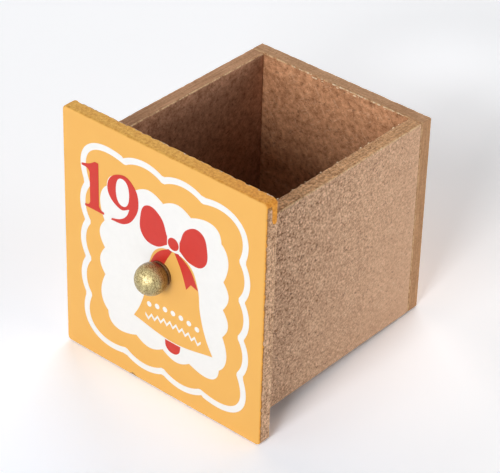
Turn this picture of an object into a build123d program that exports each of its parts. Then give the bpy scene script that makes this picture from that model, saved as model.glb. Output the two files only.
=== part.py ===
"""One drawer of a wooden advent calendar.

An open box of thin fibreboard is glued up behind a larger painted front, and a small ball
knob on the front is held by a screw from inside. Millimetres, +Z up, the front faces -Y.
The origin is the middle of the box's underside.
"""

import os

from build123d import *

# Boards: all five are cut from one sheet
board = 3.0
box_width = 41.3
box_height = 42.7
box_depth = 48.2
edge_round = 0.3

# How far the front stands past the box on each side
side_overhang = 3.55
top_overhang = 6.65
bottom_overhang = 2.65
front_corner = 0.8

# Knob: a turned ball, set down into a short round foot
ball_diameter = 6.2
ball_sink = 0.5
foot_diameter = 5.0
foot_thickness = 0.5
knob_rise = 0.7

# Knob screw: a small pan-head machine screw with a cross recess
thread_diameter = 2.0
thread_engagement = 2.9
head_diameter = 4.0
head_height = 1.5
head_round = 0.7
recess_length = 2.2
recess_width = 0.5
recess_depth = 0.8

# Fits
hole_clearance = 0.2
thread_clearance = 0.03
bore_spare = 0.5

# Places that follow from the sizes
front_width = box_width + 2 * side_overhang
front_height = bottom_overhang + box_height + top_overhang
front_middle = front_height / 2 - bottom_overhang
front_back_y = -box_depth / 2
front_face_y = front_back_y - board
inner_width = box_width - 2 * board
inner_depth = box_depth - board
inner_middle_y = -board / 2
knob_z = front_middle + knob_rise
knob_axis = Axis((0, front_face_y, knob_z), (0, -1, 0))

os.makedirs("parts", exist_ok=True)


# Front: a board with rounded corners, broken edges and one hole for the knob's screw
with BuildPart() as front_panel:
    with BuildSketch(Plane.XZ.offset(-front_back_y)):
        with Locations((0, front_middle)):
            RectangleRounded(front_width, front_height, front_corner)
        with Locations((0, knob_z)):
            Circle(thread_diameter / 2 + hole_clearance, mode=Mode.SUBTRACT)
    extrude(amount=board)
    face_outline = front_panel.faces().sort_by(Axis.Y)[0].outer_wire().edges()
    rear_outline = front_panel.faces().sort_by(Axis.Y)[-1].outer_wire().edges()
    fillet(face_outline + rear_outline, radius=edge_round)
front_panel.part.label = "front_panel"
export_step(front_panel.part, "parts/front_panel.step")


# Side walls: between the front and the back, with broken edges at the rim and the underside
for side_name, direction in (("left_side", -1), ("right_side", 1)):
    with BuildPart() as side:
        with BuildSketch():
            with Locations((direction * (inner_width + board) / 2, inner_middle_y)):
                Rectangle(board, inner_depth)
        extrude(amount=box_height)
        long_edges = side.edges().filter_by(Axis.Y)
        rim_edges = long_edges.group_by(Axis.Z)[-1]
        lower_edges = long_edges.group_by(Axis.Z)[0].sort_by(Axis.X)
        outer_lower_edge = lower_edges[-1] if direction > 0 else lower_edges[0]
        fillet(rim_edges + [outer_lower_edge], radius=edge_round)
    side.part.label = side_name
    export_step(side.part, f"parts/{side_name}.step")


# Back: across the full width of the box, over the rear ends of the side walls
with BuildPart() as back_panel:
    with BuildSketch():
        with Locations((0, (box_depth - board) / 2)):
            Rectangle(box_width, board)
    extrude(amount=box_height)
    rim_edges = back_panel.edges().filter_by(Axis.X).group_by(Axis.Z)[-1]
    rear_outline = back_panel.faces().sort_by(Axis.Y)[-1].outer_wire().edges()
    inner_rim_edge = rim_edges.sort_by(Axis.Y)[0]
    fillet(rear_outline + [inner_rim_edge], radius=edge_round)
back_panel.part.label = "back_panel"
export_step(back_panel.part, "parts/back_panel.step")


# Bottom: set in between the four walls, flush with their lower edges
with BuildPart() as bottom_panel:
    with BuildSketch():
        with Locations((0, inner_middle_y)):
            Rectangle(inner_width, inner_depth)
    extrude(amount=board)
bottom_panel.part.label = "bottom_panel"
export_step(bottom_panel.part, "parts/bottom_panel.step")


# Knob: one turned profile, drawn outwards from the face of the front, with a blind tapped hole
with BuildPart() as knob:
    ball_centre = ball_diameter / 2 - ball_sink
    knob_length = ball_centre + ball_diameter / 2
    profile_plane = Plane(knob_axis.position, x_dir=knob_axis.direction, z_dir=(-1, 0, 0))
    with BuildSketch(profile_plane):
        with Locations((ball_centre, 0)):
            Circle(ball_diameter / 2)
        corner = (Align.MIN, Align.MIN)
        Rectangle(foot_thickness, foot_diameter / 2, align=corner)
        half_width = max(ball_diameter, foot_diameter)
        Rectangle(knob_length, half_width, align=corner, mode=Mode.INTERSECT)
    revolve(axis=knob_axis)
    with BuildSketch(Plane.XZ.offset(-front_face_y)):
        with Locations((0, knob_z)):
            Circle(thread_diameter / 2 + thread_clearance)
    extrude(amount=thread_engagement + bore_spare, mode=Mode.SUBTRACT)
knob.part.label = "knob"
export_step(knob.part, "parts/knob.step")


# Knob screw: its head bears on the back of the front, its shank reaches into the knob
with BuildPart() as knob_screw:
    with BuildSketch(Plane.XZ.offset(-front_back_y)):
        with Locations((0, knob_z)):
            Circle(thread_diameter / 2)
    extrude(amount=board + thread_engagement)
    with BuildSketch(Plane.XZ.offset(-front_back_y)):
        with Locations((0, knob_z)):
            Circle(head_diameter / 2)
    extrude(amount=-head_height)
    head_top = knob_screw.faces().sort_by(Axis.Y)[-1]
    fillet(head_top.edges(), radius=head_round)
    with BuildSketch(Plane.XZ.offset(-front_back_y - head_height)):
        with Locations((0, knob_z)):
            Rectangle(recess_length, recess_width)
            Rectangle(recess_width, recess_length)
    extrude(amount=recess_depth, mode=Mode.SUBTRACT)
knob_screw.part.label = "knob_screw"
export_step(knob_screw.part, "parts/knob_screw.step")
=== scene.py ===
"""Looks of one drawer of a wooden advent calendar: five boards sawn from fibreboard, a painted and printed
front, a cast brass knob and its screw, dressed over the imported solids. Lengths are in metres."""

import math
import random

import bmesh
import bpy
from mathutils import Matrix, Vector, geometry, noise


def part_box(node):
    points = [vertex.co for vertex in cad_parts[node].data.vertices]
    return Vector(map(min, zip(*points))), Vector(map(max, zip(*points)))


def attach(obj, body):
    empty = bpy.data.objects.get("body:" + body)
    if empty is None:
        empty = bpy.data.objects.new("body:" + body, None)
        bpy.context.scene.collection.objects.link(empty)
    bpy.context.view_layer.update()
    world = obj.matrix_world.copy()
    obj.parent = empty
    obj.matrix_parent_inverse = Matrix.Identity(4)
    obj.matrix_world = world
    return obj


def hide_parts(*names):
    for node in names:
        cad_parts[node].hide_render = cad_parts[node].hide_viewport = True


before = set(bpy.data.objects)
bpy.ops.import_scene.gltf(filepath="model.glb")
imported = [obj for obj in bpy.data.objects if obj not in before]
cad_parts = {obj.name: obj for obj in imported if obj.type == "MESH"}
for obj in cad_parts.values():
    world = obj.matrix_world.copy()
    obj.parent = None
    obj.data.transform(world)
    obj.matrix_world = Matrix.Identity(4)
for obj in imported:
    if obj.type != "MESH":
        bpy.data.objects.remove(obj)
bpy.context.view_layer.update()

MM = 0.001

# Camera, fitted to the edges of the front and the box in the photograph
VIEW_AZIMUTH = math.radians(40.05)
VIEW_ELEVATION = math.radians(33.87)
VIEW_ROLL = math.radians(1.66)
VIEW_DISTANCE = 433.6 * MM
VIEW_TARGET = Vector((-2.12, 0.0, 17.65)) * MM
VIEW_LENS = 165.02
VIEW_SENSOR = 36.0
VIEW_NEAREST = 10 * MM

# Softboxes: name, azimuth and elevation in degrees, width, height, and the level it gives a matt white card
SOFTBOX_DISTANCE = 1.3
SOFTBOXES = [
    ("front_softbox", 9.5, 23.0, 0.60, 0.50, 0.765),
    ("left_fill", 320.0, 24.0, 0.90, 0.70, 0.13),
    ("right_card", 125.0, 5.5, 1.60, 0.24, 0.51),
    ("right_softbox", 130.0, 25.0, 0.90, 0.60, 0.12),
    ("rear_strip", 208.0, 23.0, 1.40, 0.50, 0.93),
    ("rear_softbox", 180.0, 30.0, 1.20, 0.60, 0.10),
    ("top_softbox", 0.0, 55.0, 0.80, 0.80, 0.04),
]
ROOM_LEVEL = 0.03
ROOM_SEEN = 0.9
ROOM_TINT = (0.985, 0.99, 1.0, 1.0)

# Paper that the drawer stands on: its own tones, and the lift that it gets where it is seen. Both are linear
# shares, because the lift goes past white. Before the drawer the lift is stronger and cooler: painted light
# there, which also cancels the warm glow that the ochre face throws on the paper
PAPER_REACH = 2.0
PAPER_TOOTH = 40 * MM
PAPER_TONES = ((0.88, 0.88, 0.885, 1.0), (0.90, 0.90, 0.905, 1.0))
PAPER_LIFT = (1.135, 1.145, 1.172, 1.0)
GLOW_LIFT = (1.31, 1.39, 1.52, 1.0)
GLOW_MIDDLE = (8 * MM, -30 * MM, 0.0)
GLOW_REACH = 80 * MM
# Painted light on the paper: patches where its seen colour is lifted further, which lightens the drawer's
# shadow at its far end and beside the right wall. Each has its middle, the radius that is lifted fully, the
# reach of the lift, and the lift itself
PAINTED_LIGHT_PATCHES = [((-20 * MM, 116 * MM, 0.0), 6 * MM, 34 * MM, 1.21),
               ((28 * MM, 25 * MM, 0.0), 4 * MM, 29 * MM, 1.09)]

# Shape of the boards
ARRIS = 0.28 * MM
BOX_CORNER = 0.25 * MM
FRONT_CORNER = 0.8 * MM
STATION_STEP = 0.2 * MM
CORNER_STEPS = 6
RIM_RINGS = 11
ARRIS_RINGS = 5
FACE_INSETS = (1.5 * MM, 0.9 * MM, 0.55 * MM)
ARRIS_SHARE = 0.3
ARRIS_FADE = 0.4 * MM
SAW_BITE = 0.06 * MM
SAW_GRAIN = 0.45 * MM
PAINT_FILLS = 0.7
CHIP_DEPTH = 0.26 * MM
CHIP_GRAIN = 1.1 * MM
CHIPPED = (0.52, 0.80)
TEAR_OUT = 0.9
SIDE_TEAR = 0.15
SHEET_STEP = (0.11, 0.07, 0.05)
SMOOTH_REARWARD = 0.65
SCREW_HOLE = 1.2 * MM
SCREW_HOLE_SIDES = 24
SQUARE_EDGE = math.radians(60)
BOX_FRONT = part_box("right_side")[0].y
BOX_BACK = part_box("back_panel")[1].y

# Look of the boards: the darker and the paler tone of each sheet, pressed or sawn, and sizes of its marks
PALE_SHEET = ("#BB9477", "#D1A989")
# Inner sheets: browner and darker than the pale sheet, partly painted shade and warm bounce light inside the
# box
BROWN_SHADED_SHEET = ("#A0755A", "#B48568")
BACK_SHADED_SHEET = ("#A67755", "#BA8763")
# The bottom's inner face is painted dark as shade, which also darkens the light it throws onto the walls
# inside
SHADE_DARK_SHEET = ("#6A4630", "#7C543A")
SAWN_FRONT = ("#B68D6B", "#D0A989")
SAWN_PINK = ("#A67752", "#BF916D")
SAWN_BROWN = ("#B28155", "#CC9C70")
SAWN_BACK = ("#A67953", "#C0946E")
TORN_FIBRE = ("#D9B488", "#FFF0D2")
BARK = "#5A3C2A"
LOOSE_FIBRE = "#DDBFA0"
# Pale fur on the arrises, which is also a painted edge highlight
FUR_AND_EDGE_HIGHLIGHT = "#E9C79A"
MOTTLE_SIZE = 4 * MM
OUTER_GRAIN = 0.5 * MM
INNER_GRAIN = 1.2 * MM
FRONT_GRAIN = 0.42 * MM
BARK_SIZE = 0.8 * MM
OUTER_BARK = (1.0, 0.2)
INNER_BARK = 0.55
SAWN_BARK = 0.25
FIBRE_LENGTH = 1.8 * MM
FIBRE_WIDTH = 0.25 * MM
FIBRE_TURNS = (0.6, 2.2)
FIBRE_RELIEF = 0.05 * MM
WOOL_SIZE = 0.2 * MM
LAYER_LENGTH = 9 * MM
LAYER = 0.3 * MM
OUTER_CONTRAST = (6.0, 0.4)
# Lightness of the outer faces from the box's front to its back: darker near the front is painted shade,
# where the front board stands out past the box and shades them
OUTER_SHADE_LEVEL = (0.82, 1.12)
WARM_SWING = (0.9, 1.05, 1.2)

# Paint on the front
FRONT_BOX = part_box("front_panel")
PAINT_FACE = ("#E7AD57", "#EBB45D")
PAINT_EDGE = ("#C07006", "#FFCF67")
PAINT_RICH_EDGE = ("#BD6304", "#FEB848")
PAINT_MARGIN_DARK = "#7A5420"
PAINT_CLOUD = 5 * MM
PAINT_STIPPLE = 0.6 * MM
PAINT_MARGIN = 0.35 * MM
PAINT_RELIEF = 0.006 * MM
PAINT_WRAP, WRAP_FADE = 0.10 * MM, 0.12 * MM
PAINT_THIN, THIN_FADE = 0.50 * MM, 0.15 * MM
PAINT_RAGGED, RAG_SIZE = 0.16 * MM, 0.9 * MM
PAINT_RIM = (0.3 * MM, 0.5 * MM)
KNOCK_AT, KNOCK_REACH, KNOCK_DEPTH = -7.0 * MM, 1.6 * MM, 0.75 * MM
TOP_COAT, TOP_FADE = 0.2 * MM, 0.5 * MM
REAR_PITS, PIT_SIZE, PITTED = 0.40 * MM, 0.8 * MM, (0.48, 0.66)
REAR_LIP = 0.03 * MM
CORNER_WRAP, CORNER_FADE = 0.7 * MM, 0.3 * MM
CORNER_SMEAR, SMEAR_FADE = 1.5 * MM, 0.6 * MM
RUN_LENGTH = 4.9 * MM
RUN_ROUND_END = 0.88
RUN_NEAR_TOP, RUN_NEAR_END = 1.30 * MM, 1.65 * MM
RUN_FAR = 2.95 * MM
RUN_FADE = 0.1 * MM

# Print on the front
INK = 0.03 * MM
INK_CLOUD = 1.2 * MM
INK_RELIEF = 0.006 * MM
WHITE_INK = ("#E9E8E6", "#EFEEEC")
RED_INK = ("#C4281C", "#CE3022")

# Metal
BRASS_DULL = ("#5A4413", "#6E5621")
BRASS_BRIGHT = "#DCCD96"
BRASS_PATINA_AND_SHADE = "#5E2E0C"
BRASS_SKIN = 0.26 * MM
BRASS_CLOUD = 2.2 * MM
BRASS_RELIEF = 0.03 * MM
ZINC = ("#A9ADB2", "#CDD0D3")
ZINC_CLOUD = 0.8 * MM


def linear(hex_colour):
    """An sRGB hex colour as linear RGBA."""
    shares = [int(hex_colour[i:i + 2], 16) / 255 for i in (1, 3, 5)]
    return tuple(s / 12.92 if s <= 0.04045 else ((s + 0.055) / 1.055) ** 2.4 for s in shares) + (1.0,)


def add(tree, kind, links=None, **settings):
    """Adds one node. settings are its own properties. links fill its input sockets, each with a value, with
    an output of another node, or with another node, whose first output in use is taken."""
    made = tree.nodes.new(kind)
    for name, value in settings.items():
        setattr(made, name, value)
    for socket, value in (links or {}).items():
        if isinstance(value, bpy.types.Node):
            value = next(output for output in value.outputs if output.enabled)
        if isinstance(value, bpy.types.NodeSocket):
            tree.links.new(value, made.inputs[socket])
        else:
            made.inputs[socket].default_value = value
    return made


def new_material(name):
    """A material with an empty node tree, and that tree."""
    material = bpy.data.materials.new(name)
    material.use_nodes = True
    material.node_tree.nodes.clear()
    return material, material.node_tree


def finished(material, shader):
    """Joins a shader to the material's surface, and hands the material over."""
    add(material.node_tree, "ShaderNodeOutputMaterial", {"Surface": shader})
    return material


def show(name, mesh, material, slot, *stands_for):
    """Puts a mesh in the scene as a piece of the drawer."""
    mesh.materials.append(material)
    piece = bpy.data.objects.new(name, mesh)
    bpy.context.scene.collection.objects.link(piece)
    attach(piece, "root")
    if stands_for:
        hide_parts(*stands_for)


def fibreboard_look(tree, inner_tones, sawn_tones, inner_contrast, inner_level, sawn_contrast, hair,
                    inner_grain=INNER_GRAIN):
    """Colour and height of raw fibreboard. Its pressed faces are felted fibre with dark bark flecks and pale
    hairs: the outer one pale, gritty near the front of the box and smooth behind, the inner one browner,
    darker and softly mottled, partly as painted shade. Its sawn edges show the layers of the pressing, and
    their arrises are furred, partly as a painted highlight. The lightness of both pressed faces and the sawn
    edges' contrast run from the box's front to its back; the faces darker towards the front is painted
    shade, cast by the front board."""
    place = add(tree, "ShaderNodeAttribute", attribute_name="place").outputs["Vector"]
    sawn, arris, outer, rearward, smooth = (
        add(tree, "ShaderNodeAttribute", attribute_name=mark).outputs["Fac"]
        for mark in ("sawn", "arris", "outer", "rearward", "smooth"))

    def by_side(inner_value, outer_value, sawn_value):
        """A value that differs between the inner face, the outer face and the sawn edges."""
        pressed_value = add(tree, "ShaderNodeMix", {0: outer, 2: inner_value, 3: outer_value})
        return add(tree, "ShaderNodeMix", {0: sawn, 2: pressed_value, 3: sawn_value})

    # The pressed faces' lightness rises from the box's front to its back: darker near the front is painted
    # shade, cast by the front board
    outer_bark, outer_swing, sawn_swing, outer_shaded_lightness, inner_shaded_lightness = (
        add(tree, "ShaderNodeMapRange", {"Value": along, "To Min": first, "To Max": last})
        for along, (first, last) in ((smooth, OUTER_BARK), (smooth, OUTER_CONTRAST),
                                     (rearward, sawn_contrast), (rearward, OUTER_SHADE_LEVEL),
                                     (rearward, inner_level)))
    bark_share = by_side(INNER_BARK, outer_bark, SAWN_BARK)
    swing = by_side(inner_contrast, outer_swing, sawn_swing)
    level = by_side(inner_shaded_lightness, outer_shaded_lightness, 1.0)

    # Real fibre bundles are about 0.1 mm across. They are drawn coarser here, so that they show
    mottle = add(tree, "ShaderNodeTexNoise", {"Vector": place, "Scale": 1 / MOTTLE_SIZE, "Detail": 3.0})
    outer_grit, inner_grit = (
        add(tree, "ShaderNodeTexNoise",
            {"Vector": place, "Scale": 1 / grain, "Detail": 4.0, "Roughness": 0.85})
        for grain in (OUTER_GRAIN, inner_grain))
    outer_or_sawn = add(tree, "ShaderNodeMath", {0: outer, 1: sawn}, operation="MAXIMUM")
    grit = add(tree, "ShaderNodeMix", {0: outer_or_sawn, 2: inner_grit, 3: outer_grit})
    bark = add(tree, "ShaderNodeTexNoise",
               {"Vector": place, "Scale": 1 / BARK_SIZE, "Detail": 2.0, "Roughness": 0.6, "Distortion": 0.8})
    bark_flecks = add(tree, "ShaderNodeMapRange",
                      {"Value": bark, "From Min": 0.62, "From Max": 0.70, "To Max": bark_share},
                      interpolation_type="SMOOTHSTEP")

    # Loose fibres lie flat in the board, any way round: two layers, each drawn out along its own direction
    fibres = []
    for turn in FIBRE_TURNS:
        laid = add(tree, "ShaderNodeMapping",
                   {"Vector": place, "Rotation": (0.0, 0.0, turn),
                    "Scale": (FIBRE_LENGTH, FIBRE_WIDTH, FIBRE_WIDTH)},
                   vector_type="TEXTURE")
        strand = add(tree, "ShaderNodeTexNoise",
                     {"Vector": laid, "Scale": 1.0, "Detail": 1.0, "Distortion": 0.5})
        fibres.append(add(tree, "ShaderNodeMapRange",
                          {"Value": strand, "From Min": 0.64, "From Max": 0.72, "To Max": hair}))
    pale_fibres = add(tree, "ShaderNodeMath", {0: fibres[0], 1: fibres[1]}, operation="MAXIMUM")

    inner_face, outer_face, cut = (
        add(tree, "ShaderNodeMix", {0: mottle, 6: linear(dark), 7: linear(pale)}, data_type="RGBA")
        for dark, pale in (inner_tones, PALE_SHEET, sawn_tones))
    pressed = add(tree, "ShaderNodeMix", {0: outer, 6: inner_face, 7: outer_face}, data_type="RGBA")
    board = add(tree, "ShaderNodeMix", {0: sawn, 6: pressed, 7: cut}, data_type="RGBA")
    flecked = add(tree, "ShaderNodeMix", {0: bark_flecks, 6: board, 7: linear(BARK)}, data_type="RGBA")
    fibrous = add(tree, "ShaderNodeMix", {0: pale_fibres, 6: flecked, 7: linear(LOOSE_FIBRE)},
                  data_type="RGBA")

    # The grit lightens and darkens the pressed faces and, less or more, the sawn edges. The pressing leaves
    # layers, which a sawn edge shows as streaks along it
    grit_middle = add(tree, "ShaderNodeMath", {0: grit, 1: 0.5}, operation="SUBTRACT")
    grit_swing = add(tree, "ShaderNodeMath", {0: grit_middle, 1: swing}, operation="MULTIPLY")
    layered = add(tree, "ShaderNodeMapping",
                  {"Vector": place, "Scale": (LAYER_LENGTH, LAYER_LENGTH, LAYER)}, vector_type="TEXTURE")
    layers = add(tree, "ShaderNodeTexNoise", {"Vector": layered, "Scale": 1.0, "Detail": 2.0})
    layer_middle = add(tree, "ShaderNodeMath", {0: layers, 1: 0.5}, operation="SUBTRACT")
    both_swings = add(tree, "ShaderNodeMath", {0: layer_middle, 1: sawn, 2: grit_swing},
                      operation="MULTIPLY_ADD")
    # Dark grit is a warmer brown than pale grit: green and blue swing wider than red
    warm_swing = add(tree, "ShaderNodeVectorMath", {0: both_swings, 1: WARM_SWING, 2: level},
                     operation="MULTIPLY_ADD")
    gritty = add(tree, "ShaderNodeMix", {0: 1.0, 6: fibrous, 7: warm_swing}, data_type="RGBA",
                 blend_type="MULTIPLY")

    # Pale fur along the arrises: partly torn fibre, partly a painted highlight where the rounded edge
    # catches the light
    fur_and_highlight = add(tree, "ShaderNodeMapRange",
              {"Value": arris, "From Min": 0.25, "From Max": 0.9, "To Max": 0.85})
    fur_patches = add(tree, "ShaderNodeMapRange",
                      {"Value": bark, "From Min": 0.38, "From Max": 0.60, "To Min": 0.08})
    furred_and_highlit = add(tree, "ShaderNodeMath", {0: fur_and_highlight, 1: fur_patches}, operation="MULTIPLY")
    colour = add(tree, "ShaderNodeMix", {0: furred_and_highlit, 6: gritty, 7: linear(FUR_AND_EDGE_HIGHLIGHT)}, data_type="RGBA")
    height = add(tree, "ShaderNodeMath", {0: grit, 1: pale_fibres}, operation="ADD")
    return colour, height


def raw_fibreboard(name, **look):
    """Medium-density fibreboard, pressed and sawn, with no finish: dull, speckled and slightly furry, with a
    painted highlight along its arrises.
    """
    material, tree = new_material(name)
    colour, height = fibreboard_look(tree, **look)
    bump = add(tree, "ShaderNodeBump", {"Strength": 0.5, "Distance": FIBRE_RELIEF, "Height": height})
    shader = add(tree, "ShaderNodeBsdfPrincipled",
                 {"Base Color": colour, "Roughness": 0.9, "IOR": 1.5, "Specular IOR Level": 0.25,
                  "Normal": bump})
    return finished(material, shader)


def painted_fibreboard():
    """Ochre emulsion paint rolled on fibreboard: an even satin coat with a faint roller stipple, whose
    ragged margins let the raw board show."""
    material, tree = new_material("ochre_emulsion_rolled_on_fibreboard")
    board_colour, board_height = fibreboard_look(
        tree, inner_tones=PALE_SHEET, sawn_tones=SAWN_FRONT, inner_contrast=2.5, inner_level=(1.0, 1.0),
        sawn_contrast=(5.0, 5.0), hair=0.5, inner_grain=FRONT_GRAIN)
    place = add(tree, "ShaderNodeAttribute", attribute_name="place").outputs["Vector"]
    covered = add(tree, "ShaderNodeAttribute", attribute_name="paint").outputs["Fac"]
    sawn = add(tree, "ShaderNodeAttribute", attribute_name="sawn").outputs["Fac"]

    margin = add(tree, "ShaderNodeTexNoise", {"Vector": place, "Scale": 1 / PAINT_MARGIN, "Detail": 2.0})
    ragged = add(tree, "ShaderNodeMath", {0: margin, 1: 0.5, 2: covered}, operation="MULTIPLY_ADD")
    coat = add(tree, "ShaderNodeMapRange", {"Value": ragged, "From Min": 0.60, "From Max": 0.90},
               interpolation_type="SMOOTHSTEP")

    thickness = add(tree, "ShaderNodeTexNoise", {"Vector": place, "Scale": 1 / PAINT_CLOUD, "Detail": 3.0})
    stipple = add(tree, "ShaderNodeTexNoise",
                  {"Vector": place, "Scale": 1 / PAINT_STIPPLE, "Detail": 4.0, "Roughness": 0.8})
    sunk = add(tree, "ShaderNodeMapRange", {"Value": stipple, "From Min": 0.25, "From Max": 0.75})
    # Over the thirsty sawn edge the coat sinks in, deeper in colour and uneven, and richer towards the right
    # end, where it was laid on so thick that it ran
    on_face, thin_edge, rich_edge = (
        add(tree, "ShaderNodeMix", {0: share, 6: linear(deep), 7: linear(pale)}, data_type="RGBA")
        for share, (deep, pale) in ((thickness, PAINT_FACE), (sunk, PAINT_EDGE), (sunk, PAINT_RICH_EDGE)))
    spot = add(tree, "ShaderNodeTexCoord").outputs["Object"]
    across = add(tree, "ShaderNodeSeparateXYZ", {0: spot}).outputs["X"]
    rightward = add(tree, "ShaderNodeMapRange", {"Value": across, "From Max": FRONT_BOX[1].x})
    on_edge = add(tree, "ShaderNodeMix", {0: rightward, 6: thin_edge, 7: rich_edge}, data_type="RGBA")
    paint = add(tree, "ShaderNodeMix", {0: sawn, 6: on_face, 7: on_edge}, data_type="RGBA")
    coated = add(tree, "ShaderNodeMix", {0: coat, 6: board_colour, 7: paint}, data_type="RGBA")
    # Where the coat thins out over a sawn edge, its margin is drawn as a dark olive line
    at_margin = add(tree, "ShaderNodeMath", {0: coat, 1: 0.5}, operation="SUBTRACT")
    off_margin = add(tree, "ShaderNodeMath", {0: at_margin}, operation="ABSOLUTE")
    dark_margin = add(tree, "ShaderNodeMapRange",
                 {"Value": off_margin, "From Min": 0.25, "From Max": 0.5, "To Min": 0.75, "To Max": 0.0})
    colour = add(tree, "ShaderNodeMix", {0: dark_margin, 6: coated, 7: linear(PAINT_MARGIN_DARK)}, data_type="RGBA")
    gloss = add(tree, "ShaderNodeMix", {0: sawn, 2: 0.5, 3: 0.85})
    board_relief = add(tree, "ShaderNodeMath", {0: board_height, 1: FIBRE_RELIEF}, operation="MULTIPLY")
    paint_relief = add(tree, "ShaderNodeMath", {0: stipple, 1: PAINT_RELIEF}, operation="MULTIPLY")
    relief = add(tree, "ShaderNodeMix", {0: coat, 2: board_relief, 3: paint_relief})
    bump = add(tree, "ShaderNodeBump", {"Strength": 0.6, "Distance": 1.0, "Height": relief})
    shader = add(tree, "ShaderNodeBsdfPrincipled",
                 {"Base Color": colour, "Roughness": gloss, "IOR": 1.5, "Specular IOR Level": 0.35,
                  "Normal": bump})
    return finished(material, shader)


def screen_ink(name, thin, full):
    """Screen-printed ink: a flat, even, satin film, a trace thinner in places where the mesh let less
    through."""
    material, tree = new_material(name)
    place = add(tree, "ShaderNodeTexCoord").outputs["Object"]
    film = add(tree, "ShaderNodeTexNoise", {"Vector": place, "Scale": 1 / INK_CLOUD, "Detail": 3.0})
    colour = add(tree, "ShaderNodeMix", {0: film, 6: linear(thin), 7: linear(full)}, data_type="RGBA")
    bump = add(tree, "ShaderNodeBump", {"Strength": 0.3, "Distance": INK_RELIEF, "Height": film})
    shader = add(tree, "ShaderNodeBsdfPrincipled",
                 {"Base Color": colour, "Roughness": 0.5, "IOR": 1.5, "Normal": bump})
    return finished(material, shader)


def antique_brass():
    """Cast brass, tumbled, darkened and lacquered: a grainy skin, rubbed bright where hands reach it and
    brown towards its foot, partly patina and partly painted shade where the ball shades its waist and foot.
    Its shine breaks into specks, under the lacquer's whiter shine."""
    material, tree = new_material("antique_brass_cast_tumbled_and_lacquered")
    place = add(tree, "ShaderNodeTexCoord").outputs["Object"]
    wear_and_shade = add(tree, "ShaderNodeAttribute", attribute_name="wear_and_shade").outputs["Fac"]
    skin = add(tree, "ShaderNodeTexNoise",
               {"Vector": place, "Scale": 1 / BRASS_SKIN, "Detail": 3.0, "Roughness": 0.65})
    cloud = add(tree, "ShaderNodeTexNoise", {"Vector": place, "Scale": 1 / BRASS_CLOUD, "Detail": 2.0})
    rubbed = add(tree, "ShaderNodeMapRange", {"Value": skin, "From Min": 0.31, "From Max": 0.69})
    dull = add(tree, "ShaderNodeMix",
               {0: cloud, 6: linear(BRASS_DULL[0]), 7: linear(BRASS_DULL[1])}, data_type="RGBA")
    bright = add(tree, "ShaderNodeMix", {0: rubbed, 6: dull, 7: linear(BRASS_BRIGHT)}, data_type="RGBA")
    # Painted shade, with patina: the tone deepens from the waist to the foot, where the ball shades them
    colour = add(tree, "ShaderNodeMix", {0: wear_and_shade, 6: linear(BRASS_PATINA_AND_SHADE), 7: bright}, data_type="RGBA")
    gloss = add(tree, "ShaderNodeMapRange", {"Value": rubbed, "To Min": 0.6, "To Max": 0.5})
    bump = add(tree, "ShaderNodeBump", {"Strength": 0.5, "Distance": BRASS_RELIEF, "Height": skin})
    shader = add(tree, "ShaderNodeBsdfPrincipled",
                 {"Base Color": colour, "Metallic": 1.0, "Roughness": gloss, "Coat Weight": 0.7,
                  "Coat Roughness": 0.25, "Normal": bump})
    return finished(material, shader)


def zinc_plate():
    """Steel screw, zinc plated: bluish bright metal, clouded in patches by the plating bath."""
    material, tree = new_material("zinc_plated_steel")
    place = add(tree, "ShaderNodeTexCoord").outputs["Object"]
    cloud = add(tree, "ShaderNodeTexNoise", {"Vector": place, "Scale": 1 / ZINC_CLOUD, "Detail": 3.0})
    colour = add(tree, "ShaderNodeMix", {0: cloud, 6: linear(ZINC[0]), 7: linear(ZINC[1])},
                 data_type="RGBA")
    gloss = add(tree, "ShaderNodeMapRange", {"Value": cloud, "To Min": 0.22, "To Max": 0.42})
    shader = add(tree, "ShaderNodeBsdfPrincipled",
                 {"Base Color": colour, "Metallic": 1.0, "Roughness": gloss})
    return finished(material, shader)


def torn_fibre():
    """Torn fibreboard fibre: pale, dull and woolly, lighter than the pressed sheet because nothing binds
    it."""
    material, tree = new_material("torn_fibreboard_fibre")
    place = add(tree, "ShaderNodeTexCoord").outputs["Object"]
    wool = add(tree, "ShaderNodeTexNoise", {"Vector": place, "Scale": 1 / WOOL_SIZE, "Detail": 3.0})
    colour = add(tree, "ShaderNodeMix", {0: wool, 6: linear(TORN_FIBRE[0]), 7: linear(TORN_FIBRE[1])},
                 data_type="RGBA")
    bump = add(tree, "ShaderNodeBump", {"Strength": 0.6, "Distance": FIBRE_RELIEF, "Height": wool})
    shader = add(tree, "ShaderNodeBsdfPrincipled",
                 {"Base Color": colour, "Roughness": 0.95, "IOR": 1.5, "Specular IOR Level": 0.2,
                  "Normal": bump})
    return finished(material, shader)


def seen_ray(tree):
    """1 for what the camera sees, straight, in a shine or through glass, and 0 for light on its way between
    matt surfaces."""
    ray = add(tree, "ShaderNodeLightPath").outputs
    seen = add(tree, "ShaderNodeMath", {0: ray["Is Camera Ray"], 1: ray["Is Glossy Ray"]},
               operation="MAXIMUM")
    return add(tree, "ShaderNodeMath", {0: seen, 1: ray["Is Transmission Ray"]}, operation="MAXIMUM")


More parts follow.
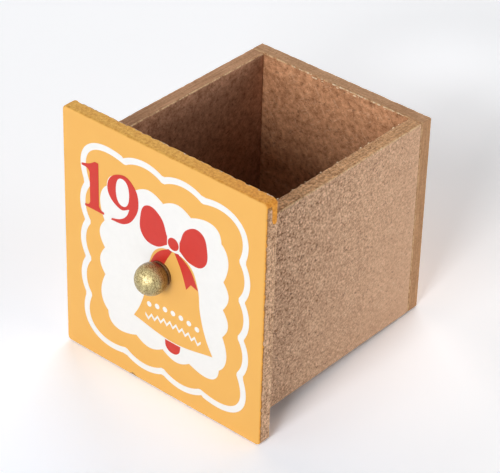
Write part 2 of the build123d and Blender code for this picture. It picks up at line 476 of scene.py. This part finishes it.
def white_paper():
    """Studio paper, matt white. Seen by the camera, or in metal, it is lifted to the photograph's pale
    ground; what it throws back on the drawer stays at paper's own level."""
    material, tree = new_material("white_studio_paper")
    place = add(tree, "ShaderNodeTexCoord").outputs["Object"]
    tooth = add(tree, "ShaderNodeTexNoise", {"Vector": place, "Scale": 1 / PAPER_TOOTH, "Detail": 2.0})
    plain = add(tree, "ShaderNodeMix", {0: tooth, 6: PAPER_TONES[0], 7: PAPER_TONES[1]}, data_type="RGBA")
    # Painted light before the drawer: a stronger, cooler lift that cancels the ochre face's warm glow on the
    # paper
    from_glow = add(tree, "ShaderNodeVectorMath", {0: place, 1: GLOW_MIDDLE}, operation="DISTANCE")
    far_from_glow = add(tree, "ShaderNodeMapRange", {"Value": from_glow, "From Max": GLOW_REACH},
                        interpolation_type="SMOOTHSTEP")
    seen_paper = add(tree, "ShaderNodeMix", {0: far_from_glow, 6: GLOW_LIFT, 7: PAPER_LIFT},
                     data_type="RGBA")
    # Painted light: each patch lifts the seen paper further, which lightens the drawer's shadow there
    for middle, core, reach, lift in PAINTED_LIGHT_PATCHES:
        apart = add(tree, "ShaderNodeVectorMath", {0: place, 1: middle}, operation="DISTANCE")
        painted_light = add(tree, "ShaderNodeMapRange",
                    {"Value": apart, "From Min": core, "From Max": reach, "To Min": lift, "To Max": 1.0},
                    interpolation_type="SMOOTHSTEP")
        seen_paper = add(tree, "ShaderNodeVectorMath", {0: seen_paper, "Scale": painted_light}, operation="SCALE")
    colour = add(tree, "ShaderNodeMix", {0: seen_ray(tree), 6: plain, 7: seen_paper}, data_type="RGBA")
    return finished(material, add(tree, "ShaderNodeBsdfDiffuse", {"Color": colour}))


def rough(place, grain):
    """Noise from 0 to 1 with features about one grain across, and finer ones among them."""
    fall_off, finer, layers = 1.0, 2.0, 3
    return min(max(0.5 + 0.5 * noise.fractal(place / grain, fall_off, finer, layers), 0.0), 1.0)


def ease(low, high, value):
    """0 below low, 1 above high, and a smooth rise between."""
    share = min(max((value - low) / (high - low), 0.0), 1.0)
    return share * share * (3 - 2 * share)


def turned(share):
    """1 on a rim that faces a way and 0 on one that doesn't, from the share of it that points there."""
    least, most = 0.3, 0.8
    return ease(least, most, share)


def rim_stations(width, height):
    """Places round a board's outline, anticlockwise: which corner or side each belongs to, as two shares of
    the half width and half height, and the angle that its rim faces."""
    stations = []
    for quarter in range(4):
        angle = quarter * math.pi / 2
        facing = Vector((round(math.cos(angle)), round(math.sin(angle))))
        along = Vector((-facing.y, facing.x))
        steps = max(int((height if quarter % 2 == 0 else width) / STATION_STEP), 2)
        for step in range(steps + 1):
            stations.append((facing + along * (2 * step / steps - 1), angle))
        for step in range(1, CORNER_STEPS):
            stations.append((facing + along, angle + step / CORNER_STEPS * math.pi / 2))
    return stations


def rim_section(thickness):
    """Rings from the low face round the rim to the high face: inset from the outline, height, how far the
    ring faces outward and upward, and its shares of rim and of arris."""
    low_half = [(inset, 0.0, 0.0, -1.0, 0.0, 0.0) for inset in FACE_INSETS]
    for step in range(ARRIS_RINGS):
        angle = step / (ARRIS_RINGS - 1) * math.pi / 2
        out, down = math.sin(angle), -math.cos(angle)
        arris = ARRIS_SHARE + (1 - ARRIS_SHARE) * math.sin(2 * angle)
        low_half.append((ARRIS * (1 - out), ARRIS * (1 + down), out, down, out * out, arris))
    high_half = [(inset, thickness - height, out, -up, rim, arris)
                 for inset, height, out, up, rim, arris in low_half]
    rim_height = thickness - 2 * ARRIS
    rim = []
    for step in range(1, RIM_RINGS):
        height = ARRIS + rim_height * step / RIM_RINGS
        from_arris = min(height, thickness - height) - ARRIS
        rim.append((0.0, height, 1.0, 0.0, 1.0, ARRIS_SHARE * (1 - ease(0.0, ARRIS_FADE, from_arris))))
    return low_half + rim + high_half[::-1]


def ring_faces(rings, count, first=0):
    """Faces between closed rings of count points each, numbered on from first."""
    faces = []
    for ring in range(rings - 1):
        near, far = first + ring * count, first + (ring + 1) * count
        for step in range(count):
            after = (step + 1) % count
            faces.append((near + step, near + after, far + after, far + step))
    return faces


def sawn_board(name, node, thin, torn, corner, seed, coverage=None, hole_at=None):
    """Mesh of a board cut from pressed sheet: two flat faces and a sawn rim, bitten into by the saw and
    chipped along its arrises. thin is the axis of its thickness. torn is 1 or -1 for the high or low face,
    whichever the saw left by, where the arris is torn out more; that face looks into the box. coverage gives
    the paint at a spot on it, and hole_at is where it is drilled for the screw."""
    low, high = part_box(node)
    wide, tall = (axis for axis in range(3) if axis != thin)
    width, height, thickness = high[wide] - low[wide], high[tall] - low[tall], high[thin] - low[thin]
    middle = (low + high) / 2
    stations, section = rim_stations(width, height), rim_section(thickness)
    shift = Vector([seed * step for step in SHEET_STEP])
    points, places = [], []
    marks = {mark: [] for mark in ("sawn", "arris", "outer", "rearward", "smooth", "paint")}

    def lay(point, spot, **values):
        """Adds a point to the mesh, with its spot in the sheet it was cut from, and its marks."""
        points.append(point)
        places.append(Vector((spot[wide], spot[tall], spot[thin])) + shift)
        for mark, value in values.items():
            marks[mark].append(value)

    for inset, level, out, up, rim, arris in section:
        for share, angle in stations:
            spot, outward = Vector((0, 0, 0)), Vector((0, 0, 0))
            outward[wide], outward[tall] = math.cos(angle), math.sin(angle)
            spot[wide] = middle[wide] + share.x * (width / 2 - inset - corner) + corner * outward[wide]
            spot[tall] = middle[tall] + share.y * (height / 2 - inset - corner) + corner * outward[tall]
            spot[thin] = low[thin] + level
            coat = coverage(spot, outward) if coverage else 0.0
            bite = rim * SAW_BITE * rough(spot + shift, SAW_GRAIN) * (1 - PAINT_FILLS * coat)
            tear = (1 + TEAR_OUT * torn * up) * (SIDE_TEAR + (1 - SIDE_TEAR) * turned(outward.z))
            chip = arris * CHIP_DEPTH * tear * ease(*CHIPPED, rough(spot + shift, CHIP_GRAIN))
            inward = outward * out
            inward[thin] += up
            rearward = (spot.y - BOX_FRONT) / (BOX_BACK - BOX_FRONT)
            downward = (high.z - spot.z) / (high.z - low.z)
            lay(spot - inward * (bite + chip), spot, sawn=rim, arris=arris,
                outer=0.5 - torn * (level / thickness - 0.5), rearward=rearward,
                smooth=SMOOTH_REARWARD * rearward + (1 - SMOOTH_REARWARD) * downward, paint=coat)

    count, rings = len(stations), len(section)
    faces = ring_faces(rings, count)
    low_face, high_face = list(range(count)), list(range((rings - 1) * count, rings * count))
    if hole_at is None:
        faces += [tuple(low_face[::-1]), tuple(high_face)]
    else:
        walls = []
        for face, level, coat in ((low_face, low[thin], 1.0), (high_face, high[thin], 0.0)):
            loop = list(range(len(points), len(points) + SCREW_HOLE_SIDES))
            for step in range(SCREW_HOLE_SIDES):
                angle = 2 * math.pi * step / SCREW_HOLE_SIDES
                spot = Vector((0, 0, 0))
                spot[wide] = hole_at[wide] + SCREW_HOLE * math.cos(angle)
                spot[tall] = hole_at[tall] + SCREW_HOLE * math.sin(angle)
                spot[thin] = level
                lay(spot, spot, sawn=0.0, arris=0.0, outer=coat, rearward=0.0, smooth=0.0, paint=coat)
            both = face + loop
            outlines = [[Vector((points[i][wide], points[i][tall], 0)) for i in part]
                        for part in (face, loop)]
            faces += [tuple(both[i] for i in triangle) for triangle in geometry.tessellate_polygon(outlines)]
            walls.append(loop)
        for step in range(SCREW_HOLE_SIDES):
            after = (step + 1) % SCREW_HOLE_SIDES
            faces.append((walls[0][after], walls[0][step], walls[1][step], walls[1][after]))

    mesh = bpy.data.meshes.new(name)
    mesh.from_pydata(points, [], faces)
    if not coverage:
        del marks["paint"]
    for mark, values in marks.items():
        mesh.attributes.new(mark, "FLOAT", "POINT").data.foreach_set("value", values)
    flat_places = [number for place in places for number in place]
    mesh.attributes.new("place", "FLOAT_VECTOR", "POINT").data.foreach_set("vector", flat_places)
    even_normals(mesh)
    return mesh


def even_normals(mesh):
    """Turns every face outward and shades it smoothly, but for square edges like those of a drilled hole."""
    work = bmesh.new()
    work.from_mesh(mesh)
    bmesh.ops.recalc_face_normals(work, faces=work.faces)
    work.to_mesh(mesh)
    work.free()
    mesh.shade_smooth()
    mesh.set_sharp_from_angle(angle=SQUARE_EDGE)


def front_coverage(point, outward):
    """How well the ochre paint covers a spot on the front: its face, past whose border the coat thins out,
    the top edge, pitted along its rear, and a run of paint that crept down the right edge from the top
    corner. The lower border is knocked in one place."""
    low, high = FRONT_BOX
    behind_face = point.y - low.y
    below_top = high.z - point.z
    inset = max(min(point.x - low.x, high.x - point.x, point.z - low.z, below_top), 0.0)
    wobble = PAINT_RAGGED * (2 * rough(point, RAG_SIZE) - 1)
    knock = KNOCK_DEPTH * turned(-outward.z) * (1 - ease(0.0, KNOCK_REACH, abs(point.x - KNOCK_AT)))
    past_border = behind_face - inset + wobble + knock
    thinned = ease(0.0, WRAP_FADE, past_border - PAINT_WRAP)
    gone = ease(0.0, THIN_FADE, past_border - PAINT_THIN)
    face = 1 - 0.5 * thinned - 0.5 * gone
    on_top = 1 - ease(0.0, TOP_FADE, below_top - TOP_COAT + wobble)
    pits = REAR_PITS * ease(*PITTED, rough(point, PIT_SIZE))
    top = turned(outward.z) * on_top * ease(0.0, WRAP_FADE, high.y - point.y - pits + REAR_LIP)

    on_right = turned(outward.x)
    corner = 1 - 0.5 * ease(0.0, CORNER_FADE, below_top - CORNER_WRAP + wobble)
    smear = corner * (1 - ease(0.0, SMEAR_FADE, below_top - CORNER_SMEAR + 2 * wobble))
    down = min(below_top / RUN_LENGTH, 1.0)
    near = RUN_NEAR_TOP + (RUN_NEAR_END - RUN_NEAR_TOP) * down
    past_straight = max(down - RUN_ROUND_END, 0.0) / (1 - RUN_ROUND_END)
    half_width = (RUN_FAR - near) / 2 * math.sqrt(1 - past_straight ** 2)
    inside_run = half_width - abs(behind_face - (near + RUN_FAR) / 2)
    run = ease(-RUN_FADE, RUN_FADE, inside_run + 0.5 * wobble) if down < 1 else 0.0
    on_rim = 1 - ease(*PAINT_RIM, inset)
    return max(face, on_rim * max(top, on_right * smear, on_right * run))


def cast_knob():
    """Mesh of the knob: a ball on a short foot, turned from one profile, with the fine hollows of a casting.
    It is rubbed bright on its front and dull from its waist to its foot, which is partly painted shade."""
    low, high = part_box("knob")
    middle = (low + high) / 2
    ball = (high.x - low.x) / 2
    ball_middle = low.y + ball
    foot, foot_height, foot_round, foot_steps = 2.5 * MM, 0.5 * MM, 0.12 * MM, 4
    grain_depth, grain_size = 0.03 * MM, 0.5 * MM
    pit_depth, pit_size, pitted = 0.05 * MM, 0.9 * MM, (0.6, 0.8)
    foot_grain, foot_rubbing, bright_to_dull = 0.4, 0.2, (1.1, 2.1)
    neck_angle = math.acos(-(high.y - foot_height - ball_middle) / ball)
    sides, ball_rings = 128, 72
    profile = []
    for step in range(1, ball_rings + 1):
        angle = neck_angle * step / ball_rings
        profile.append((ball * math.sin(angle), ball_middle - ball * math.cos(angle), 1.0,
                        1 - (1 - foot_rubbing) * ease(*bright_to_dull, angle)))
    for step in range(foot_steps + 1):
        angle = step / foot_steps * math.pi / 2
        profile.append((foot - foot_round + foot_round * math.sin(angle),
                        high.y - foot_height + foot_round - foot_round * math.cos(angle),
                        foot_grain, foot_rubbing))
    profile.append((foot, high.y, 0.0, foot_rubbing))

    points, wear_and_shade = [Vector((middle.x, low.y, middle.z))], [1.0]
    for radius, depth, grain, rubbing in profile:
        for side in range(sides):
            angle = 2 * math.pi * side / sides
            point = Vector((middle.x + radius * math.cos(angle), depth, middle.z + radius * math.sin(angle)))
            from_middle = (point - Vector((middle.x, ball_middle, middle.z))).normalized()
            hollow = (grain_depth * rough(point, grain_size)
                      + pit_depth * ease(*pitted, rough(point, pit_size)))
            points.append(point - from_middle * hollow * grain)
            wear_and_shade.append(rubbing)
    faces = [(0, 1 + (side + 1) % sides, 1 + side) for side in range(sides)]
    faces += ring_faces(len(profile), sides, 1)
    last = 1 + (len(profile) - 1) * sides
    faces.append(tuple(range(last, last + sides)))
    mesh = bpy.data.meshes.new("cast_knob")
    mesh.from_pydata(points, [], faces)
    mesh.attributes.new("wear_and_shade", "FLOAT", "POINT").data.foreach_set("value", wear_and_shade)
    even_normals(mesh)
    return mesh


def arch(start, end, bulge, steps=14):
    """A round arch that swells by bulge to the right of the way from start to end: points, each with the way
    outward there."""
    chord = end - start
    half = chord.length / 2
    radius = (half ** 2 + bulge ** 2) / (2 * bulge)
    centre = (start + end) / 2 + Vector((chord.y, -chord.x)).normalized() * (bulge - radius)
    first = math.atan2(start.y - centre.y, start.x - centre.x)
    sweep = 2 * math.asin(half / radius)
    ways = [Vector((math.cos(angle), math.sin(angle)))
            for angle in (first + sweep * step / steps for step in range(steps + 1))]
    return [(centre + way * radius, way) for way in ways]


def rounded_corner(start, first_pull, second_pull, end, steps=24):
    """A corner drawn as one curve from start to end, with its two pulls: points, each with the way
    outward."""
    points = geometry.interpolate_bezier(start, first_pull, second_pull, end, steps + 1)
    ways = []
    for before, after in zip(points[:1] + points[:-1], points[1:] + points[-1:]):
        ways.append(Vector((after.y - before.y, before.x - after.x)).normalized())
    return list(zip(points, ways))


def scalloped_rectangle(centre, half_width, half_height):
    """The middle of a line round a rectangle in scallops: three along each side, two along the top and the
    bottom, and a larger, squarer one round each corner. Points, each with the way outward."""
    side_pitch, end_pitch, bulge = 8.15 * MM, 9.3 * MM, 1.35 * MM
    # Pulls of the corner curves, in millimetres: from a side to an end, and from an end to a side
    to_end, to_side = ((2.7, 6.3), (7.0, 2.1)), ((-7.8, 2.3), (-3.3, 7.0))
    path = []
    for turn in (1, -1):
        side = [centre + turn * Vector((half_width, side_pitch * place)) for place in (-1.5, -0.5, 0.5, 1.5)]
        end = [centre + turn * Vector((end_pitch * place, half_height)) for place in (1, 0, -1)]
        next_side = centre - turn * Vector((half_width, side_pitch * -1.5))
        for start, stop in zip(side, side[1:]):
            path += arch(start, stop, bulge)
        path += rounded_corner(side[-1], side[-1] + turn * Vector(to_end[0]) * MM,
                               end[0] + turn * Vector(to_end[1]) * MM, end[0])
        for start, stop in zip(end, end[1:]):
            path += arch(start, stop, bulge)
        path += rounded_corner(end[-1], end[-1] + turn * Vector(to_side[0]) * MM,
                               next_side + turn * Vector(to_side[1]) * MM, next_side)
    return path


def even_line(curve, path, width):
    """Adds both outlines of a line of even width along a path of points and ways outward. Where a cusp
    brings an outline too near another stretch of the path, that bit of it is left out."""
    too_near = 0.49 * width
    for side in (1, -1):
        outline = [point + way * side * width / 2 for point, way in path]
        clear = [spot for spot in outline if min((spot - point).length for point, _ in path) > too_near]
        flat_outline(curve, clear)


def lobed_oval(half_width, half_height, lobes, bulge, centre):
    """Points of an upright oval, a little squared, whose edge swells into even lobes."""
    points, lobe_steps, squareness = [], 24, 8.0
    count = lobes * lobe_steps
    for step in range(count):
        angle = 2 * math.pi * step / count
        lean = (abs(math.cos(angle) / half_width) ** squareness
                + abs(math.sin(angle) / half_height) ** squareness)
        reach = lean ** (-1 / squareness) + bulge * abs(math.sin(lobes / 2 * angle))
        points.append(centre + Vector((math.cos(angle), math.sin(angle))) * reach)
    return points


def flat_outline(curve, points):
    """Adds a closed outline of straight steps to a flat curve."""
    spline = curve.splines.new("POLY")
    spline.points.add(len(points) - 1)
    for knot, point in zip(spline.points, points):
        knot.co = (point[0], point[1], 0.0, 1.0)
    spline.use_cyclic_u = True


def drawn_outline(curve, knots, centre=(0.0, 0.0)):
    """Adds a closed outline drawn through knots in millimetres, round unless they are marked sharp."""
    spline = curve.splines.new("BEZIER")
    spline.bezier_points.add(len(knots) - 1)
    for knot, (across, up, *sharp) in zip(spline.bezier_points, knots):
        knot.co = ((centre[0] + across) * MM, (centre[1] + up) * MM, 0.0)
        knot.handle_left_type = knot.handle_right_type = "VECTOR" if sharp else "AUTO"
    spline.use_cyclic_u = True


def dot(curve, across, up, radius):
    """Adds a round dot to a flat curve, in millimetres."""
    knots = [(radius, 0), (0, radius), (-radius, 0), (0, -radius)]
    drawn_outline(curve, knots, (across, up))


def mirrored(knots):
    """Knots of a right half, from top to bottom, with their mirror image added to close the outline."""
    return knots + [(-across, up, *sharp) for across, up, *sharp in knots[::-1] if across]


def printed(name, curve, layer, material):
    """Turns a flat curve into a film of ink on the front's face, one layer above the last."""
    low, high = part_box("front_panel")
    curve.dimensions = "2D"
    curve.fill_mode = "BOTH"
    curve.extrude = INK / 2
    curve.resolution_u = 10
    drawing = bpy.data.objects.new(name + "_drawing", curve)
    bpy.context.scene.collection.objects.link(drawing)
    mesh = bpy.data.meshes.new_from_object(drawing.evaluated_get(bpy.context.evaluated_depsgraph_get()))
    bpy.data.objects.remove(drawing)
    middle = (low + high) / 2
    on_face = Matrix.Translation((middle.x, low.y - INK * (layer + 0.5), middle.z))
    mesh.transform(on_face @ Matrix.Rotation(math.pi / 2, 4, "X"))
    mesh.materials.clear()
    show(name, mesh, material, "")


# Outlines of the print, in millimetres: knots across and up, round unless they are marked sharp. The bell,
# its bow and its clapper are drawn from the bell's middle, and the numerals from the front's
BELL = (3.0, -3.0)
BELL_HALF = [(0, 9.6), (3.8, 8.6), (5.8, 5.0), (6.6, -0.8), (8.1, -5.8), (9.7, -8.8, "sharp"), (0, -10.3)]
BOW_LOOP = [(1.5, 12.3, "sharp"), (3.2, 15.8), (6.4, 16.7), (8.0, 13.6), (7.2, 9.7), (4.2, 9.0),
            (1.5, 10.5, "sharp")]
BOW_TAIL = [(0.3, 9.55, "sharp"), (1.2, 9.75, "sharp"), (3.9, 7.8), (6.0, 4.0, "sharp"),
            (4.3, 4.5, "sharp"), (3.2, 3.0, "sharp"), (1.9, 6.6)]
CLAPPER = [(-1.9, -10.45, "sharp"), (1.9, -10.45, "sharp"), (1.5, -12.1), (0, -12.8), (-1.5, -12.1)]
ONE = [(-15.3, 17.3, "sharp"), (-15.3, 8.2, "sharp"), (-14.9, 7.6), (-14.0, 7.35, "sharp"),
       (-14.0, 6.9, "sharp"), (-18.8, 6.9, "sharp"), (-18.8, 7.35, "sharp"), (-17.9, 7.6),
       (-17.5, 8.2, "sharp"), (-17.5, 14.6, "sharp"), (-18.0, 15.2), (-19.5, 15.4, "sharp"),
       (-19.5, 15.8, "sharp"), (-17.6, 16.4), (-16.2, 17.3, "sharp")]
NINE = [(-9.4, 17.4), (-13.1, 13.6), (-10.0, 10.0), (-7.7, 10.8, "sharp"), (-8.3, 9.3), (-9.8, 7.9),
        (-12.1, 7.1, "sharp"), (-12.2, 6.7, "sharp"), (-8.9, 7.2), (-6.5, 9.5), (-5.45, 13.3), (-6.6, 16.2)]
NINE_EYE = [(-9.4, 16.6), (-11.0, 13.6), (-9.4, 10.8), (-7.7, 13.6)]


def white_print():
    """The white layer: a scalloped line round the front, and a lobed field that leaves out a bell with a row
    of dots and a zigzag band on it."""
    curve = bpy.data.curves.new("white_print", "CURVE")
    middle, half_width, half_height, line = Vector((0.5, -0.3)) * MM, 18.55 * MM, 20.8 * MM, 1.3 * MM
    even_line(curve, scalloped_rectangle(middle, half_width, half_height), line)
    middle, half_width, half_height = Vector((0.5, -0.2)) * MM, 14.4 * MM, 15.9 * MM
    lobes, lobe_bulge = 16, 1.3 * MM
    flat_outline(curve, lobed_oval(half_width, half_height, lobes, lobe_bulge, middle))
    drawn_outline(curve, mirrored(BELL_HALF), BELL)
    across, up = BELL
    dot_pitch, dot_level, dot_droop, dot_radius = 1.95, -3.8, 0.08, 0.55
    for place in range(-3, 4):
        dot(curve, across + place * dot_pitch, up + dot_level - dot_droop * place ** 2, dot_radius)
    half_band, band_level, band_droop, band_line, tooth_height, teeth = 6.8, -5.8, 0.02, 0.6, 1.0, 9
    steps = [(half_band * (step / teeth - 1), band_level - tooth_height * (step % 2))
             for step in range(2 * teeth + 1)]
    upper = [(place, level - band_droop * place ** 2, "sharp") for place, level in steps]
    lower = [(place, level - band_line, "sharp") for place, level, _ in upper[::-1]]
    drawn_outline(curve, upper + lower, BELL)
    printed("white_print", curve, 0, screen_ink("white_screen_ink", *WHITE_INK))


def red_print():
    """The red layer: the day's number, and the bell's bow and clapper."""
    curve = bpy.data.curves.new("red_print", "CURVE")
    for numeral in (ONE, NINE, NINE_EYE):
        drawn_outline(curve, numeral)
    for side in (1, -1):
        for ribbon in (BOW_LOOP, BOW_TAIL):
            drawn_outline(curve, [(side * x, y, *sharp) for x, y, *sharp in ribbon], BELL)
    across, up = BELL
    knot_level, knot_radius = 11.3, 1.3
    dot(curve, across, up + knot_level, knot_radius)
    drawn_outline(curve, CLAPPER, BELL)
    printed("red_print", curve, 1, screen_ink("red_screen_ink", *RED_INK))


def edge_crumbs():
    """Crumbs of torn fibre left by the saw on the top edges of the box, half sunk in the board: lumps drawn
    out along the edge. The back's inner edge is frayed most, towards its right end."""
    left, right, back = (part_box(node) for node in ("left_side", "right_side", "back_panel"))
    top = right[1].z
    back_start, back_end = Vector((left[1].x, back[0].y, top)), Vector((right[0].x, back[0].y, top))
    frayed_from, along_edge = 0.25, (0.08, 0.97)
    frayed_start = back_start.lerp(back_end, frayed_from)
    # Lengths of lumps and strands, as so many times their size, and sizes in millimetres
    lump, strand, crumb_sizes = (1.0, 2.2), (2.0, 4.5), (0.06, 0.15)
    least, swell, swell_size = 0.6, 0.8, 1.1
    on_top, on_arris, on_face = 0.06 * MM, 0.10 * MM, 0.50 * MM
    edges = []
    for board, side, count in ((right, 0, 12), (right, 1, 9), (left, 1, 7)):
        start, end = (Vector((board[side].x, corner.y, top)) for corner in board)
        edges.append((start, end, count, lump, on_top))
    edges += [(back_start, back_end, 18, lump, on_top), (frayed_start, back_end, 14, strand, on_arris),
              (frayed_start, back_end, 9, strand, on_face)]
    draw = random.Random(19)
    work = bmesh.new()
    for start, end, count, lengths, below in edges:
        along = (end - start).normalized()
        for _ in range(count):
            middle = start.lerp(end, draw.uniform(*along_edge)) - Vector((0, 0, below))
            size, length = draw.uniform(*crumb_sizes) * MM, draw.uniform(*lengths)
            made = bmesh.ops.create_icosphere(work, subdivisions=2, radius=1.0)
            for vertex in made["verts"]:
                bulge = vertex.co * size * (least + swell * rough(vertex.co + middle / size, swell_size))
                vertex.co = middle + bulge + along * bulge.dot(along) * (length - 1)
    mesh = bpy.data.meshes.new("edge_crumbs")
    work.to_mesh(mesh)
    work.free()
    mesh.shade_smooth()
    return mesh


def direction(azimuth, elevation):
    """The way towards a place round the drawer: azimuth from its front towards its right, and elevation."""
    return Vector((math.sin(azimuth) * math.cos(elevation), -math.cos(azimuth) * math.cos(elevation),
                   math.sin(elevation)))


def looking_back(toward, distance):
    """The stand of a camera or a lamp that is some distance away and looks back at the middle."""
    return Matrix.Translation(toward * distance) @ toward.to_track_quat("Z", "Y").to_matrix().to_4x4()


def studio():
    """Camera, pale floor and soft light. The drawer leans back a little, because it stands on the lower edge
    of its front and on the box's rear edge, so the floor is tilted to meet both."""
    scene = bpy.context.scene
    scene.view_settings.view_transform = "Standard"

    camera = bpy.data.objects.new("camera", bpy.data.cameras.new("camera"))
    camera.data.lens = VIEW_LENS
    camera.data.sensor_width = VIEW_SENSOR
    camera.data.clip_start = VIEW_NEAREST
    stand = looking_back(direction(VIEW_AZIMUTH, VIEW_ELEVATION), VIEW_DISTANCE)
    camera.matrix_world = Matrix.Translation(VIEW_TARGET) @ stand @ Matrix.Rotation(VIEW_ROLL, 4, "Z")
    scene.collection.objects.link(camera)
    scene.camera = camera

    front_low, front_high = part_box("front_panel")
    back_low, back_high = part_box("back_panel")
    lean = math.atan2(back_low.z - front_low.z, back_high.y - front_high.y)
    paper = bpy.data.meshes.new("paper")
    corners = [(PAPER_REACH * x, PAPER_REACH * y, 0) for x, y in ((-1, -1), (1, -1), (1, 1), (-1, 1))]
    paper.from_pydata(corners, [], [(0, 1, 2, 3)])
    paper.materials.append(white_paper())
    floor = bpy.data.objects.new("paper_floor", paper)
    floor.matrix_world = Matrix.Translation((0, front_high.y, front_low.z)) @ Matrix.Rotation(lean, 4, "X")
    scene.collection.objects.link(floor)

    for name, azimuth, elevation, width, height, level in SOFTBOXES:
        lamp = bpy.data.lights.new(name, "AREA")
        lamp.shape = "RECTANGLE"
        lamp.size, lamp.size_y = width, height
        # Watts that bring a matt white card, facing the lamp where the drawer stands, to that level
        lamp.energy = level * math.pi ** 2 * SOFTBOX_DISTANCE ** 2
        softbox = bpy.data.objects.new(name, lamp)
        toward = direction(math.radians(azimuth), math.radians(elevation))
        softbox.matrix_world = looking_back(toward, SOFTBOX_DISTANCE)
        scene.collection.objects.link(softbox)

    world = bpy.data.worlds.new("white_room")
    scene.world = world
    world.use_nodes = True
    tree = world.node_tree
    tree.nodes.clear()
    # Seen past the paper's edge, or in metal, the room is as pale as the paper. It lights the drawer far
    # less than that
    strength = add(tree, "ShaderNodeMix", {0: seen_ray(tree), 2: ROOM_LEVEL, 3: ROOM_SEEN})
    light = add(tree, "ShaderNodeBackground", {"Color": ROOM_TINT, "Strength": strength})
    add(tree, "ShaderNodeOutputWorld", {"Surface": light})


# The box boards' inner faces take darker, warmer tones and a front-to-back lightness: painted shade inside
# the box
right_board = raw_fibreboard(
    "pale_raw_fibreboard_pressed_and_sawn", inner_tones=BROWN_SHADED_SHEET, sawn_tones=SAWN_BROWN,
    inner_contrast=2.6, inner_level=(0.85, 1.0), sawn_contrast=(6.0, 2.0), hair=0.4)
left_board = raw_fibreboard(
    "brown_shaded_raw_fibreboard_pressed_and_sawn", inner_tones=BROWN_SHADED_SHEET, sawn_tones=SAWN_PINK,
    inner_contrast=2.6, inner_level=(0.72, 1.04), sawn_contrast=(1.1, 1.1), hair=0.12)
back_board = raw_fibreboard(
    "warm_shaded_raw_fibreboard_pressed_and_sawn", inner_tones=BACK_SHADED_SHEET, sawn_tones=SAWN_BACK,
    inner_contrast=3.2, inner_level=(1.0, 1.13), sawn_contrast=(1.2, 1.2), hair=0.2)
# Painted shade: the bottom's inner face is dark, to deepen the shade inside the box
bottom_board = raw_fibreboard(
    "shade_dark_raw_fibreboard_pressed_and_sawn", inner_tones=SHADE_DARK_SHEET, sawn_tones=SAWN_PINK,
    inner_contrast=1.6, inner_level=(1.0, 1.0), sawn_contrast=(1.1, 1.1), hair=0.12)
screw_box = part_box("knob_screw")
screw_middle = (screw_box[0] + screw_box[1]) / 2
front_mesh = sawn_board("front_board", "front_panel", 1, 1, FRONT_CORNER, 1, front_coverage, screw_middle)
show("front_board", front_mesh, painted_fibreboard(), "painted_fibreboard", "front_panel")
BOX_BOARDS = [("left_side", 0, 1, left_board), ("right_side", 0, -1, right_board),
              ("back_panel", 1, -1, back_board), ("bottom_panel", 2, 1, bottom_board)]
for seed, (node, thin, torn, board) in enumerate(BOX_BOARDS, start=2):
    board_mesh = sawn_board(node + "_board", node, thin, torn, BOX_CORNER, seed)
    show(node + "_board", board_mesh, board, "bare_fibreboard", node)
show("edge_crumbs", edge_crumbs(), torn_fibre(), "bare_fibreboard")
show("cast_knob", cast_knob(), antique_brass(), "antique_brass", "knob")
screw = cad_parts["knob_screw"]
screw.data.materials.clear()
screw.data.materials.append(zinc_plate())
white_print()
red_print()
studio()
